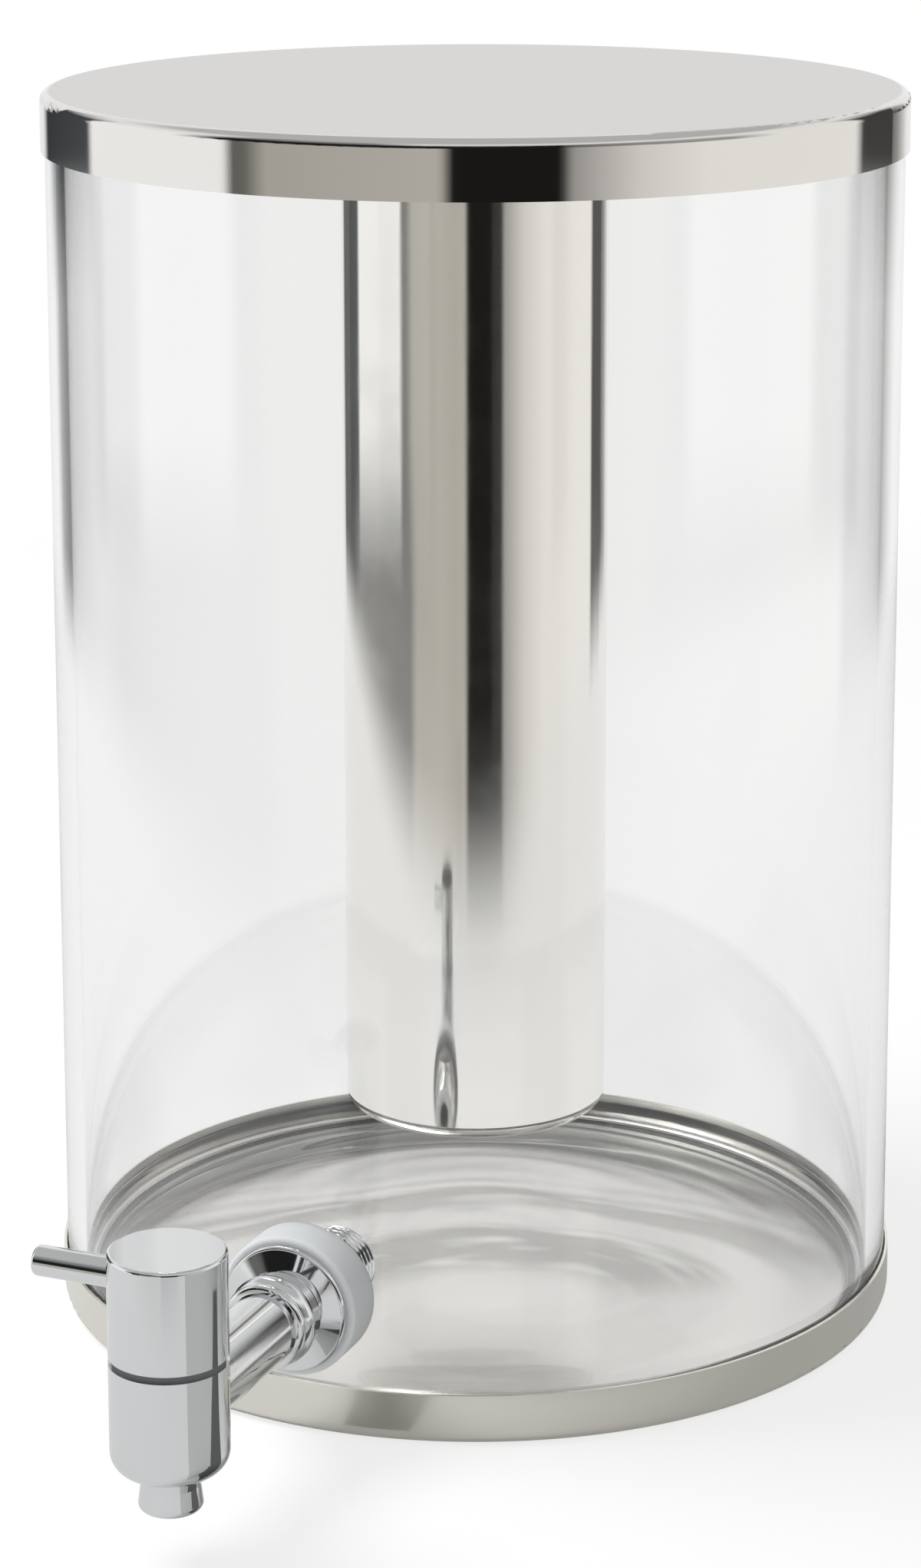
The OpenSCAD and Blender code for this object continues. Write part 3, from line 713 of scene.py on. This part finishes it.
# %% Where the cup is band, floor and inner wall
BAND_STEEL = linear("#ebe9e0")
FLOOR_FROM, FLOOR_FULL = 2.5 * MM, 5 * MM
cup_steel, tree, shader = new_finish(
    "brushed_cup_steel", Base_Color=BAND_STEEL, Metallic=1.0, Roughness=0.24
)
place, _, flat, radius = from_axis(tree)
normal = add(tree, "ShaderNodeTexCoord").outputs["Normal"]
cup_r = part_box("base_cup")[1].x
limits = {"From Min": cup_r - FLOOR_FROM, "From Max": cup_r - FLOOR_FULL}
floor = add(tree, "ShaderNodeMapRange", {"Value": radius, **limits}).outputs[0]
outward = add(tree, "ShaderNodeVectorMath", {0: flat}, operation="NORMALIZE").outputs["Vector"]
faces = add(tree, "ShaderNodeVectorMath", {0: outward, 1: normal}, operation="DOT_PRODUCT").outputs["Value"]
inner_wall = add(tree, "ShaderNodeMapRange", {"Value": faces, "From Min": -0.2, "From Max": -0.8}).outputs[0]
print("cup of", round(2 * cup_r / MM, 1), "mm")

# %% Painted reflection: crescents on the back half of the floor
ARC_CENTRE, ARC_WIDEN, ARC_REACH = 30 * MM, 0.8, 120 * MM
WANDER, WANDER_WIDE = 9 * MM, 60 * MM
CRESCENTS = [
    (20, 0.0), (32, 0.9), (44, 1.0), (50, 0.1), (56, 0.0), (61, 0.8), (69, 1.0), (74, 0.15), (77, 0.45),
    (80, 0.1), (86, 0.4), (91, 0.3), (97, 0.1), (120, 0.0),
]
turned = add(
    tree, "ShaderNodeVectorRotate", {"Vector": flat, "Angle": -CAMERA_TURN}, rotation_type="Z_AXIS"
).outputs["Vector"]
moved = add(
    tree, "ShaderNodeVectorMath", {0: turned, 1: [0, ARC_CENTRE, 0]}, operation="ADD"
).outputs["Vector"]
widened = add(
    tree, "ShaderNodeVectorMath", {0: moved, 1: [ARC_WIDEN, 1, 1]}, operation="MULTIPLY"
).outputs["Vector"]
reach = add(tree, "ShaderNodeVectorMath", {0: widened}, operation="LENGTH").outputs["Value"]
slow = add(tree, "ShaderNodeTexNoise", {"Vector": place, "Scale": 1 / WANDER_WIDE, "Detail": 0.0}).outputs[0]
wander = add(tree, "ShaderNodeMapRange", {"Value": slow, "To Min": -WANDER, "To Max": WANDER}).outputs[0]
drifted = add(tree, "ShaderNodeMath", {0: reach, 1: wander}, operation="ADD").outputs[0]
along = add(tree, "ShaderNodeMapRange", {"Value": drifted, "From Max": ARC_REACH}).outputs[0]
rings = add(tree, "ShaderNodeValToRGB", {"Fac": along})
rings.color_ramp.interpolation = "EASE"
set_stops(rings, [(distance * MM / ARC_REACH, [dark, dark, dark, 1.0]) for distance, dark in CRESCENTS])
print(len(CRESCENTS), "stops of floor crescents")

# %% Break the crescents up
STREAK, STREAK_TURN = 6 * MM, 2.2
heading = add(tree, "ShaderNodeVectorMath", {0: widened}, operation="NORMALIZE").outputs["Vector"]
heading = add(tree, "ShaderNodeSeparateXYZ", {"Vector": heading}).outputs
outwards = add(tree, "ShaderNodeMath", {0: drifted, 1: 1 / STREAK}, operation="MULTIPLY").outputs[0]
sideways = add(tree, "ShaderNodeMath", {0: heading["X"], 1: STREAK_TURN}, operation="MULTIPLY").outputs[0]
streak_place = add(tree, "ShaderNodeCombineXYZ", {"X": outwards, "Y": sideways}).outputs[0]
arc_breakup = add(tree, "ShaderNodeTexNoise", {"Vector": streak_place, "Scale": 1.0, "Detail": 1.0}).outputs[0]
back_half = add(
    tree, "ShaderNodeMapRange",
    {"Value": heading["Y"], "From Min": 0.1, "From Max": 0.62},
    interpolation_type="SMOOTHSTEP",
).outputs[0]
uneven = add(tree, "ShaderNodeMapRange", {"Value": arc_breakup, "From Min": 0.25, "From Max": 0.5}).outputs[0]
painted_reflection_arcs = rings.outputs["Color"]
for share in (back_half, uneven):
    painted_reflection_arcs = add(tree, "ShaderNodeMath", {0: painted_reflection_arcs, 1: share}, operation="MULTIPLY").outputs[0]
print("streaks", round(STREAK / MM), "mm apart")

# %% Shine and colour of the cup
streak = scratches(tree, 0.35, 60)
gloss = add(tree, "ShaderNodeMapRange", {"Value": streak, "To Min": 0.14, "To Max": 0.26}).outputs[0]
gloss = add(tree, "ShaderNodeMix", {0: inner_wall, 2: gloss, 3: 0.32}).outputs[0]
floor_gloss = add(tree, "ShaderNodeMix", {0: back_half, 2: 0.26, 3: 0.2}).outputs[0]
gloss = add(tree, "ShaderNodeMix", {0: floor, 2: gloss, 3: floor_gloss}).outputs[0]
tree.links.new(gloss, shader.inputs["Roughness"])
wall_tint = add(
    tree, "ShaderNodeMix", {0: inner_wall, 6: BAND_STEEL, 7: linear("#fbf9f4")}, data_type="RGBA"
).outputs[2]
# Painted reflection: the floor's colour turns darker where the crescents lie.
floor_tint = add(
    tree, "ShaderNodeMix", {0: painted_reflection_arcs, 6: linear("#f6f4f0"), 7: linear("#a9a7a0")}, data_type="RGBA"
).outputs[2]
tint = add(tree, "ShaderNodeMix", {0: floor, 6: wall_tint, 7: floor_tint}, data_type="RGBA").outputs[2]
tree.links.new(tint, shader.inputs["Base Color"])
dress(cup_steel, "base_cup")

# %% [markdown]
# ## Chrome
# The tap is turned brass, nickel plated and chromed. Chrome is a mirror with a faint blue cast. The fine
# turning marks under the plating are only just visible.

# %% Chromed brass
chrome, tree, shader = new_finish(
    "chromed_brass", Base_Color=linear("#e2e4e5"), Metallic=1.0, Roughness=0.05
)
streak = scratches(tree, 0.4, 12)
gloss = add(tree, "ShaderNodeMapRange", {"Value": streak, "To Min": 0.03, "To Max": 0.07}).outputs[0]
tree.links.new(gloss, shader.inputs["Roughness"])
dress(chrome, "tap_body", "tap_flange", "spout", "tap_knob", "lever")
shank.data.materials.append(chrome)

# %% [markdown]
# ## Silicone, plastic and rubber
# The gaskets are moulded silicone: milky, soft and slightly translucent, so light goes a few millimetres
# in before it comes out. The ring under the lid and the one under the glass are clear silicone. The washer
# in the tap's groove is dark nylon, the plug is white acetal and its seals are black nitrile rubber. The
# mould leaves these three a fine grain and a dull shine.

# %% White silicone
SKIN_GRAIN = 0.5 * MM
silicone, tree, shader = new_finish(
    "moulded_white_silicone", Base_Color=linear("#dfe2e4"), Roughness=0.38, IOR=1.41,
    Subsurface_Weight=0.6, Subsurface_Radius=[1.0, 1.0, 1.0], Subsurface_Scale=2.5 * MM,
)
place = add(tree, "ShaderNodeTexCoord").outputs["Object"]
grain = add(tree, "ShaderNodeTexNoise", {"Vector": place, "Scale": 1 / SKIN_GRAIN, "Detail": 2.0}).outputs[0]
skin = add(tree, "ShaderNodeBump", {"Height": grain, "Strength": 0.08, "Distance": 0.05 * MM})
tree.links.new(skin.outputs["Normal"], shader.inputs["Normal"])
dress(silicone, "outer_gasket", "inner_gasket", "seat_ring", "tube_gasket")

# %% Clear silicone
CLOUD = 3 * MM
clear, tree, shader = new_finish(
    "moulded_clear_silicone", Base_Color=linear("#eef1f1"), Roughness=0.15, IOR=1.41, Transmission_Weight=0.9
)
place = add(tree, "ShaderNodeTexCoord").outputs["Object"]
cloud = add(tree, "ShaderNodeTexNoise", {"Vector": place, "Scale": 1 / CLOUD, "Detail": 2.0}).outputs[0]
gloss = add(tree, "ShaderNodeMapRange", {"Value": cloud, "To Min": 0.1, "To Max": 0.25}).outputs[0]
tree.links.new(gloss, shader.inputs["Roughness"])
dress(clear, "lid_seal", "base_pad")


# %% Nylon, acetal and nitrile rubber
def moulded(name, colour, low, high, grain_mm):
    """A moulded plastic or rubber with a fine grain; low and high bound its roughness."""
    material, tree, shader = new_finish(name, Base_Color=linear(colour), Roughness=(low + high) / 2, IOR=1.5)
    place = add(tree, "ShaderNodeTexCoord").outputs["Object"]
    scale = 1 / (grain_mm * MM)
    grain = add(tree, "ShaderNodeTexNoise", {"Vector": place, "Scale": scale, "Detail": 3.0}).outputs[0]
    gloss = add(tree, "ShaderNodeMapRange", {"Value": grain, "To Min": low, "To Max": high}).outputs[0]
    tree.links.new(gloss, shader.inputs["Roughness"])
    skin = add(tree, "ShaderNodeBump", {"Height": grain, "Strength": 0.1, "Distance": 0.04 * MM})
    tree.links.new(skin.outputs["Normal"], shader.inputs["Normal"])
    return material


dress(moulded("dark_nylon", "#6f7072", 0.4, 0.55, 0.4), "split_washer")
dress(moulded("white_acetal", "#eceae4", 0.25, 0.4, 0.6), "valve_plug")
dress(moulded("nitrile_rubber", "#262626", 0.5, 0.65, 0.3), "plug_seals")
